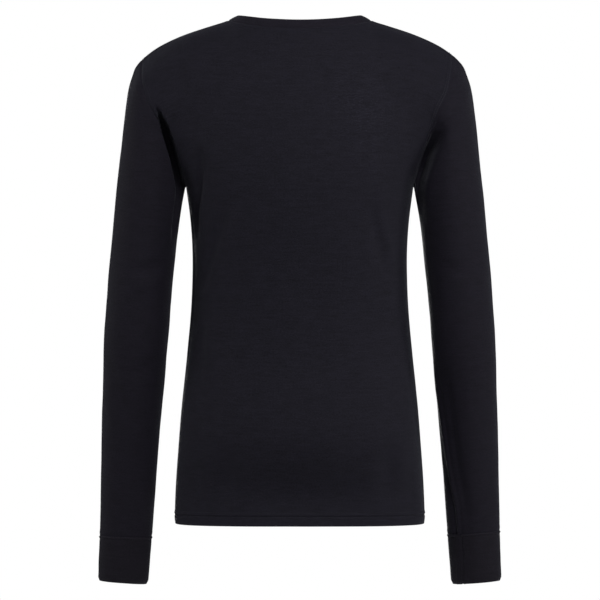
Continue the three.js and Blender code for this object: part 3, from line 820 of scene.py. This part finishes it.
def sleeve(side):
    """A sleeve down to its cuff's seam, laid out flat along the arm for the knit."""
    grid, normals = SLEEVE_BASES[side]
    down = lengths(grid, 0)
    to_cuff = down[-1:] - down
    relief = sleeve_relief(side, grid, normals, down, to_cuff)
    seam = unit(normals[0] + panel_normals_at_armhole(side))[None]
    groove = np.full(AROUND, ARMHOLE_GROOVES[side])
    groove[0] = GROOVE
    moves, depths = join(normals * relief[..., None], -normals, seam, down,
                         groove[None, :, None], GROOVE_WIDTHS[side])
    outer = grid + moves
    inner = inner_wall(outer, depths, np.full(len(grid), CLOTH))
    ring = np.concatenate([grid, grid[:, :1]], axis=1)
    around = lengths(ring, 1)
    arm = unit(grid[-1].mean(0) - grid[PAST_ARMPIT].mean(0))
    uv = np.stack([around, -(ring - grid[0, 0]) @ arm], -1)
    # Lighter along the cuff and armhole seams: painted highlight
    wear_and_seam_highlight = 0.15 * np.exp(-(to_cuff / 2)) + 0.1 * np.exp(-(down / 2))
    return make_tube(f"sleeve_{side}", side, outer, inner, uv, wear_and_seam_highlight)


def cuff(side):
    """A doubled cuff with a rounded lower edge."""
    loop = armhole_loop(side)
    seam = {name: column[-1] for name, column in sleeve_sections(side).items()}
    at_seam, between, at_lip = np.linspace(0, 0.08, 10), np.linspace(0.08, 0.9, 24), np.linspace(0.9, 1, 8)
    share = np.concatenate([at_seam, between[1:], at_lip[1:]]) * (1 - DOUBLED / 2 / CUFF_HEIGHT)
    lip = 2.0 * smooth((share - 0.9) / 0.1)  # the lower edge draws in
    section = dict(
        inner_x=mix(seam["inner_x"], CUFF_END["inner_x"], share) + lip,
        inner_z=mix(seam["inner_z"], CUFF_END["inner_z"], share),
        outer_x=mix(seam["outer_x"], CUFF_END["outer_x"], share) - lip,
        outer_z=mix(seam["outer_z"], CUFF_END["outer_z"], share),
        back=mix(seam["back"], CUFF_END["back"], share) - lip,
        front=mix(seam["front"], CUFF_END["front"], share) + lip,
        armhole=np.zeros_like(share),
    )
    grid = sleeve_rings(section, side, loop)
    normals = outward(grid, side)
    down = lengths(grid, 0)
    sign = SIDES[side]
    x, z = sign * grid[..., 0], grid[..., 2]
    # The doubled cuff stands proud of the sleeve as a rounded bead at its seam
    relief = 0.9 * bump(down, 1.4, 1.4) - 0.35 * bump(down, 0, 0.8) - 0.2 * bump(down, 4.6, 1.2)
    relief += smooth(down / 10) * undulation(grid, 30 + sign, np.array([26, 26, 20]), 0.5)
    if side == "right":
        distance = path_distance(SEAM_ON_CUFF, x, z)
        on_back = smooth(0.4 + 3 * normals[..., 1])
        relief += on_back * (0.6 * allowance(-distance, 9, 0.9) - 1.0 * bump(distance, -0.6, 1.2))
        relief += on_back * 0.6 * bump(distance, 1.8, 1.2)
    else:
        relief -= 0.6 * bump(FROM_UNDERARM, 0, 1.6)
    outer = grid + normals * relief[..., None]
    inner = inner_wall(outer, -normals, np.full(len(grid), DOUBLED))
    around = lengths(np.concatenate([grid, grid[:, :1]], axis=1), 1)
    uv = np.stack([around, np.broadcast_to(-down[:, :1], around.shape)], -1)
    # Lighter at the lip from wear, and on the bead at the seam as painted highlight
    wear_and_seam_highlight = 0.9 * np.exp(-((down[-1:] - down) / 2.5)) + 0.5 * bump(down, 1.6, 1.5)
    return make_tube(f"cuff_{side}", side, outer, inner, uv, wear_and_seam_highlight, round_lower=True)


def neckband():
    """Doubled band that stands on the neckline, with a rolled upper edge."""
    grid, normals, up = BAND_BASE
    relief = undulation(grid, 41, np.array([30, 30, 30]), 0.35) + 0.35 * bump(up, 1.6, 1.1)[:, None]
    seam = unit(normals[0] + panel_normals_at_neck())[None]
    distance = np.broadcast_to(up[:, None], relief.shape)
    moves, depths = join(normals * relief[..., None], -normals, seam, distance)
    outer = grid + moves
    inner = inner_wall(outer, depths, np.full(len(grid), DOUBLED))
    run = lengths(np.concatenate([grid, grid[:, :1]], axis=1), 1)
    uv = np.stack([run, np.broadcast_to(up[:, None], run.shape)], -1)
    wear_and_seam_highlight = np.broadcast_to((0.9 * np.exp(-((BAND_HEIGHT - up) / 2.5)))[:, None], relief.shape)
    return make_piece("neckband", outer, inner, uv, wear_and_seam_highlight, True, round_last=True)


# Nodes


def set_inputs(tree, node, inputs):
    """Give each input a value, or the output that feeds it."""
    for name, value in inputs.items():
        if isinstance(value, bpy.types.NodeSocket):
            tree.links.new(value, node.inputs[name])
        else:
            node.inputs[name].default_value = value


def add_node(tree, kind, inputs=None, **settings):
    node = tree.nodes.new(kind)
    for name, value in settings.items():
        setattr(node, name, value)
    set_inputs(tree, node, inputs or {})
    return node


# Sewing: stitches are laid along paths on the cloth

STITCH = {"Stitch pitch": 0.003, "Stitch length": 0.0026, "Thread width": 0.0006, "Thread height": 0.0004}


def stitch_tree():
    """Lays one rounded stitch after another along a path, flat on the cloth."""
    tree = bpy.data.node_groups.new("row of stitches", "GeometryNodeTree")
    face = tree.interface
    face.new_socket("Geometry", in_out="INPUT", socket_type="NodeSocketGeometry")
    sizes = {}
    for name, value in STITCH.items():
        socket = face.new_socket(name, in_out="INPUT", socket_type="NodeSocketFloat")
        socket.default_value = value
        sizes[name] = socket.identifier
    socket = face.new_socket("Thread", in_out="INPUT", socket_type="NodeSocketMaterial")
    sizes["Thread"] = socket.identifier
    face.new_socket("Geometry", in_out="OUTPUT", socket_type="NodeSocketGeometry")
    given = add_node(tree, "NodeGroupInput").outputs
    curve = add_node(tree, "GeometryNodeMeshToCurve", {0: given["Geometry"]})
    resample = add_node(tree, "GeometryNodeResampleCurve",
                        {"Curve": curve.outputs[0], "Length": given["Stitch pitch"]}, mode="LENGTH")
    bead = add_node(tree, "GeometryNodeMeshUVSphere", {"Segments": 6, "Rings": 5, "Radius": 0.5})
    facing = add_node(tree, "GeometryNodeInputNamedAttribute", {"Name": "cloth_normal"},
                      data_type="FLOAT_VECTOR")
    tangent = add_node(tree, "GeometryNodeInputTangent")
    flat = add_node(tree, "FunctionNodeAxesToRotation", primary_axis="Z", secondary_axis="X")
    set_inputs(tree, flat, {"Primary Axis": facing.outputs["Attribute"], "Secondary Axis": tangent.outputs[0]})
    scale = add_node(tree, "ShaderNodeCombineXYZ", {
        "X": given["Stitch length"], "Y": given["Thread width"], "Z": given["Thread height"]})
    place = add_node(tree, "GeometryNodeInstanceOnPoints", {
        "Points": resample.outputs[0], "Instance": bead.outputs["Mesh"],
        "Rotation": flat.outputs[0], "Scale": scale.outputs[0]})
    real = add_node(tree, "GeometryNodeRealizeInstances", {0: place.outputs[0]})
    shade = add_node(tree, "GeometryNodeSetShadeSmooth", {0: real.outputs[0]})
    finish = add_node(tree, "GeometryNodeSetMaterial", {
        "Geometry": shade.outputs[0], "Material": given["Thread"]})
    add_node(tree, "NodeGroupOutput", {0: finish.outputs[0]})
    return tree, sizes


def sew(name, paths, tree, sizes, thread, stitch):
    """Stitches along (points, normals) paths, as one plain mesh."""
    points, normals, edges = [], [], []
    for path, facing in paths:
        first = len(points)
        points += (path * MM).tolist()
        normals += facing.tolist()
        edges += [(first + k, first + k + 1) for k in range(len(path) - 1)]
    mesh = bpy.data.meshes.new(name + "_path")
    mesh.from_pydata(points, edges, [])
    layer = mesh.attributes.new("cloth_normal", "FLOAT_VECTOR", "POINT")
    layer.data.foreach_set("vector", np.array(normals).ravel())
    source = add_object(name + "_path", mesh)
    modifier = source.modifiers.new("stitches", "NODES")
    modifier.node_group = tree
    for size, value in stitch.items():
        modifier[sizes[size]] = value
    modifier[sizes["Thread"]] = thread
    view = bpy.context.evaluated_depsgraph_get()
    made = bpy.data.meshes.new_from_object(source.evaluated_get(view))
    bpy.data.objects.remove(source)
    return add_object(name, made)


# Materials


NAVY = (0.0123, 0.0112, 0.0196, 1)
SLEEVE_NAVY_PAINTED_SHADE = (0.0114, 0.0096, 0.0175, 1)  # the sleeves are a little darker than the body: painted shade, for the less light that reaches them
CUFF_NAVY = (0.0113, 0.0093, 0.0158, 1)
BAND_NAVY = (0.0127, 0.0105, 0.0188, 1)
# The thread is made lighter than the cloth: a painted highlight on the stitches
THREAD_NAVY_PAINTED_HIGHLIGHT = (0.0155, 0.0145, 0.023)
KNIT = {"Colour": NAVY, "Streaks": 0.55, "Loop width": 0.0009, "Loop height": 0.000765, "Lint": 0.3,
        "Edge wear and seam highlight": 0.3}


def knit_group():
    """Fine single knit: loops, slubs across the cloth, and lint. Values change over the surface."""
    group = bpy.data.node_groups.new("fine knit", "ShaderNodeTree")
    face = group.interface
    for name, value in KNIT.items():
        kind = "NodeSocketColor" if name == "Colour" else "NodeSocketFloat"
        face.new_socket(name, in_out="INPUT", socket_type=kind).default_value = value
    face.new_socket("Colour", in_out="OUTPUT", socket_type="NodeSocketColor")
    face.new_socket("Roughness", in_out="OUTPUT", socket_type="NodeSocketFloat")
    face.new_socket("Height", in_out="OUTPUT", socket_type="NodeSocketFloat")
    given = add_node(group, "NodeGroupInput").outputs
    uv = add_node(group, "ShaderNodeUVMap", uv_map="cloth").outputs[0]

    def calculate(operation, *values):
        return add_node(group, "ShaderNodeMath", dict(enumerate(values)), operation=operation).outputs[0]

    kinds = ("ADD", "SUBTRACT", "MULTIPLY", "DIVIDE", "ABSOLUTE", "SINE")
    add, subtract, multiply, divide, size_of, sine = (functools.partial(calculate, kind) for kind in kinds)

    def stretched(x, y):
        """The cloth's own x and y, as counts of features that are x and y to the metre."""
        return add_node(group, "ShaderNodeMapping", {"Scale": (x, y, 1), "Vector": uv}).outputs[0]

    def uneven(x, y, detail, roughness):
        """Noise about 0."""
        texture = add_node(group, "ShaderNodeTexNoise", {
            "Scale": 1.0, "Detail": detail, "Roughness": roughness, "Vector": stretched(x, y)})
        return subtract(texture.outputs["Fac"], 0.5)

    def painted(name):
        return add_node(group, "ShaderNodeAttribute", attribute_name=name).outputs["Fac"]

    # Loops stand in columns; each is a V, so a loop's two legs lean against each other
    place = add_node(group, "ShaderNodeSeparateXYZ", {0: uv})
    leg = size_of(sine(multiply(divide(place.outputs[0], given["Loop width"]), math.pi)))
    leaned = add(divide(place.outputs[1], given["Loop height"]), multiply(leg, 0.5))
    wave = sine(multiply(leaned, 2 * math.pi))
    loops = multiply(add(multiply(wave, 0.3), 0.7), calculate("POWER", leg, 0.6))
    # Yarn runs across the cloth, so its thick and thin places make level streaks
    slub, long_slub = uneven(60, 340, 3, 0.6), uneven(20, 230, 2, 0.5)
    melange, patch = uneven(400, 540, 3, 0.7), uneven(45, 70, 4, 0.62)
    streak = add(add(multiply(slub, 1.1), multiply(long_slub, 0.5)), multiply(melange, 2.5))
    # Fine crosswise creases where the cloth is crinkled. They also make the tone lighter along each crease:
    # painted highlight
    crease = calculate("MAXIMUM", subtract(0.04, size_of(uneven(60, 260, 2, 0.5))), 0.0)
    streak = add(streak, multiply(multiply(crease, painted("crinkle")), 24.0))
    tone = add(multiply(streak, given["Streaks"]), 1.0)
    # The tone is darker between the loops' legs: painted shade in the knit's hollows
    tone = multiply(add(tone, multiply(patch, 0.55)), add(multiply(loops, 0.5), 0.62))
    # Edge wear, and painted highlight along seams and on the cuff's bead, make the tone lighter
    wear_and_seam_highlight = multiply(painted("wear_and_seam_highlight"), given["Edge wear and seam highlight"])
    # Lint: sparse pale fibres
    fibre = add_node(group, "ShaderNodeTexVoronoi", {
        "Scale": 1.0, "Randomness": 1.0, "Vector": stretched(90, 260)}, feature="F1")
    speck = calculate("LESS_THAN", fibre.outputs["Distance"], 0.055)
    lint = multiply(multiply(speck, given["Lint"]), 1.5)
    tint = add_node(group, "ShaderNodeVectorMath", operation="SCALE")
    set_inputs(group, tint, {0: given["Colour"], "Scale": add(add(tone, wear_and_seam_highlight), lint)})
    roughness = subtract(add(multiply(streak, -0.08), 0.82), multiply(wear_and_seam_highlight, 0.2))
    height = add(loops, multiply(streak, 0.9))
    add_node(group, "NodeGroupOutput", {"Colour": tint.outputs[0], "Roughness": roughness, "Height": height})
    return group


def make_material(name):
    """A new material, its node tree and its shader."""
    material = bpy.data.materials.new(name)
    material.use_nodes = True
    return material, material.node_tree, material.node_tree.nodes["Principled BSDF"]


def knit_material(name, group, changes):
    """Material of the knit, with changes from the body's cloth."""
    material, tree, shader = make_material(name)
    knit = add_node(tree, "ShaderNodeGroup", node_tree=group)
    set_inputs(tree, knit, {**KNIT, **changes})
    relief = add_node(tree, "ShaderNodeBump", {
        "Strength": 0.55, "Distance": 0.00022, "Height": knit.outputs["Height"]})
    set_inputs(tree, shader, {
        "Metallic": 0.0,
        "Specular IOR Level": 0.22,
        "Sheen Weight": 0.08,
        "Sheen Roughness": 0.35,
        "Sheen Tint": (0.82, 0.85, 1.0, 1),
        "Base Color": knit.outputs["Colour"],
        "Roughness": knit.outputs["Roughness"],
        "Normal": relief.outputs[0],
    })
    return material


def thread_material(name, colour):
    """Twisted polyester thread."""
    material, tree, shader = make_material(name)
    place = add_node(tree, "ShaderNodeTexCoord")
    texture = add_node(tree, "ShaderNodeTexNoise", {"Scale": 2600, "Vector": place.outputs["Object"]})
    twist = texture.outputs["Fac"]
    dark, light = (tuple(share * c for c in colour) + (1,) for share in (0.6, 1.4))
    shades = add_node(tree, "ShaderNodeMix", {"A": dark, "B": light, "Factor": twist}, data_type="RGBA")
    gloss = add_node(tree, "ShaderNodeMapRange", {"To Min": 0.4, "To Max": 0.6, "Value": twist})
    set_inputs(tree, shader, {
        "Specular IOR Level": 0.35, "Base Color": shades.outputs["Result"], "Roughness": gloss.outputs[0]})
    return material


knit = knit_group()
body_knit = knit_material("fine navy knit", knit, {})
# The sleeves' knit is the body's knit made darker: painted shade
sleeve_knit_painted_shade = knit_material("fine navy sleeve knit", knit, {"Colour": SLEEVE_NAVY_PAINTED_SHADE})
cuff_knit = knit_material("doubled cuff knit", knit, {"Colour": CUFF_NAVY, "Streaks": 0.5, "Edge wear and seam highlight": 0.35})
band_knit = knit_material("doubled neckband knit", knit, {
    "Colour": BAND_NAVY, "Streaks": 0.45, "Loop width": 0.0008, "Loop height": 0.00068})
navy_thread_painted_highlight = thread_material("navy sewing thread", THREAD_NAVY_PAINTED_HIGHLIGHT)

# Build the pieces

finished, panels = {}, {}
for face in DEPTHS:
    finished[face], panels[face] = body_panel(face)
for side in SIDES:
    finished[f"sleeve_{side}"] = sleeve(side)
    finished[f"cuff_{side}"] = cuff(side)
finished["neckband"] = neckband()

# Knit and slot of each kind of piece, and the layer that it is cut from: width, length and area in metres
KINDS = dict(
    back=(body_knit, "body_knit", 0.47, 0.70, 0.300),
    front=(body_knit, "body_knit", 0.47, 0.70, 0.286),
    sleeve=(sleeve_knit_painted_shade, "body_knit", 0.36, 0.69, 0.177),
    cuff=(cuff_knit, "cuff_knit", 0.215, 0.067, 0.0144),
    neckband=(band_knit, "neckband_knit", 0.56, 0.016, 0.0088),
)
for name, piece in finished.items():
    material, slot, width, length, area = KINDS[name.split("_")[0]]
    piece.data.materials.append(material)
    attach(piece, "root")
    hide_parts(name)

# Sewing that shows: the hem's twin rows and the twin rows beside the armholes. The left armhole's thread
# is pulled down into the cloth, and the lower part of the right one's lies in its fold.
THREAD_LIFTS = dict(left=-0.15, right=0.12, fold=-0.6)  # of the thread's middle over the cloth
FOLD_TOP, FOLD_BACK = -150, -5


def hem_row(z):
    """A row right round the hem, at the height z."""
    row = int(np.argmin(np.abs(BODY_ROWS - z)))
    return [(data["outer"][row] + data["normals"][row] * THREAD_LIFTS["right"], data["normals"][row])
            for data in panels.values()]


def armhole_row(distance):
    """A row beside both armholes."""
    paths = []
    for data in panels.values():
        fields = [data[name][len(BODY_ROWS):] for name in ("outer", "normals", "to_side")]
        for half in (slice(None, HALF_COLUMNS), slice(None, HALF_COLUMNS, -1)):
            grid, normals, run = (field[:, half] for field in fields)
            points, facing = (np.array([[np.interp(distance, run[r], values[r, :, k]) for k in range(3)]
                                        for r in range(len(grid))]) for values in (grid, normals))
            facing = unit(facing)
            in_fold = smooth((FOLD_TOP - points[:, 2:]) / 20) * (points[:, 1:2] > FOLD_BACK)
            right_lift = mix(THREAD_LIFTS["right"], THREAD_LIFTS["fold"], in_fold)
            lift = np.where(points[:, :1] > 0, THREAD_LIFTS["left"], right_lift)
            paths.append((points + facing * lift, facing))
    return paths


tree, sizes = stitch_tree()
hem_paths = [path for z in STITCH_ROWS for path in hem_row(z)]
armhole_paths = [path for distance in NEEDLES for path in armhole_row(distance)]
HEM_STITCH = {**STITCH, "Stitch pitch": 0.0033, "Stitch length": 0.0028}
sewing = (("hem_stitches", hem_paths, HEM_STITCH), ("armhole_stitches", armhole_paths, STITCH))
for name, paths, stitch in sewing:
    piece = sew(name, paths, tree, sizes, navy_thread_painted_highlight, stitch)
    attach(piece, "root")

# Camera at the photo's angle: level, square to the back
CAMERA_DISTANCE, VIEW_WIDTH = 6.0, 0.828
scene = bpy.context.scene
camera = add_object("camera", bpy.data.cameras.new("camera"))
camera.location = (-0.0004, CAMERA_DISTANCE, -0.386)
camera.rotation_euler = (math.radians(90), 0, math.radians(180))
camera.data.sensor_width = 36.0
camera.data.lens = camera.data.sensor_width * CAMERA_DISTANCE / VIEW_WIDTH
scene.camera = camera

# Plain pale floor, well under the top
FLOOR_RADIUS, FLOOR_Z, FLOOR_CORNERS = 1.7, -1.9, 64
floor_mesh = bpy.data.meshes.new("floor")
corners = [(FLOOR_RADIUS * math.cos(a), FLOOR_RADIUS * math.sin(a), FLOOR_Z)
           for a in np.linspace(0, 2 * math.pi, FLOOR_CORNERS, endpoint=False)]
floor_mesh.from_pydata(corners, [], [tuple(range(FLOOR_CORNERS))])
floor = add_object("floor", floor_mesh)
floor_paint, paint_tree, paint = make_material("pale floor")
set_inputs(paint_tree, paint, {"Base Color": (0.85, 0.85, 0.85, 1), "Roughness": 0.9})
floor_mesh.materials.append(floor_paint)

# Soft studio light: the main light near the camera, more from above and both sides
MIDDLE = Vector((0, 0, -0.38))
LAMPS = [  # name, place, size, power
    ("main", (-0.7, 2.6, 1.0), 1.0, 28.5),
    ("right of main", (-1.6, 1.8, 1.2), 1.0, 5.2),
    ("beside the camera", (0, 5.0, 0.6), 1.2, 12.5),
    ("above", (0, 2.6, 3.0), 1.6, 16.5),
    ("over the shoulders", (0, 0.9, 2.6), 1.4, 5.4),
    ("upper left", (2.6, 2.4, 2.4), 1.6, 4.5),
    ("left", (3.6, 0.9, 0.3), 1.6, 20.5),
    ("high left", (3.2, 0.3, 1.5), 0.8, 4.4),
    ("level left", (3.5, -0.4, 0.3), 0.8, 3.7),
    ("left edge", (3.0, -1.6, 0.6), 1.6, 8.5),
    ("level right", (-3.6, 0.4, 0.3), 0.8, 22.5),
    ("right", (-3.6, 0.9, 0.3), 1.6, 16),
    ("chest", (0.4, -3.4, -0.2), 1.6, 80),
]
for name, place, size, power in LAMPS:
    lamp = bpy.data.lights.new(name, "AREA")
    lamp.shape = "DISK"
    lamp.size = size
    lamp.energy = power
    holder = add_object(name, lamp)
    holder.location = place
    holder.rotation_euler = (MIDDLE - Vector(place)).to_track_quat("-Z", "Y").to_euler()

# The camera sees a white backdrop, which lights the cloth only a little
world = bpy.data.worlds.new("studio")
scene.world = world
world.use_nodes = True
sky = world.node_tree
sky.nodes.clear()
lit = add_node(sky, "ShaderNodeBackground", {"Color": (0.96, 0.98, 1.0, 1), "Strength": 0.03})
backdrop = add_node(sky, "ShaderNodeBackground", {"Color": (1, 1, 1, 1)})
seen = add_node(sky, "ShaderNodeLightPath")
blend = add_node(sky, "ShaderNodeMixShader", {
    "Fac": seen.outputs["Is Camera Ray"], 1: lit.outputs[0], 2: backdrop.outputs[0]})
add_node(sky, "ShaderNodeOutputWorld", {0: blend.outputs[0]})
scene.view_settings.view_transform = "Standard"
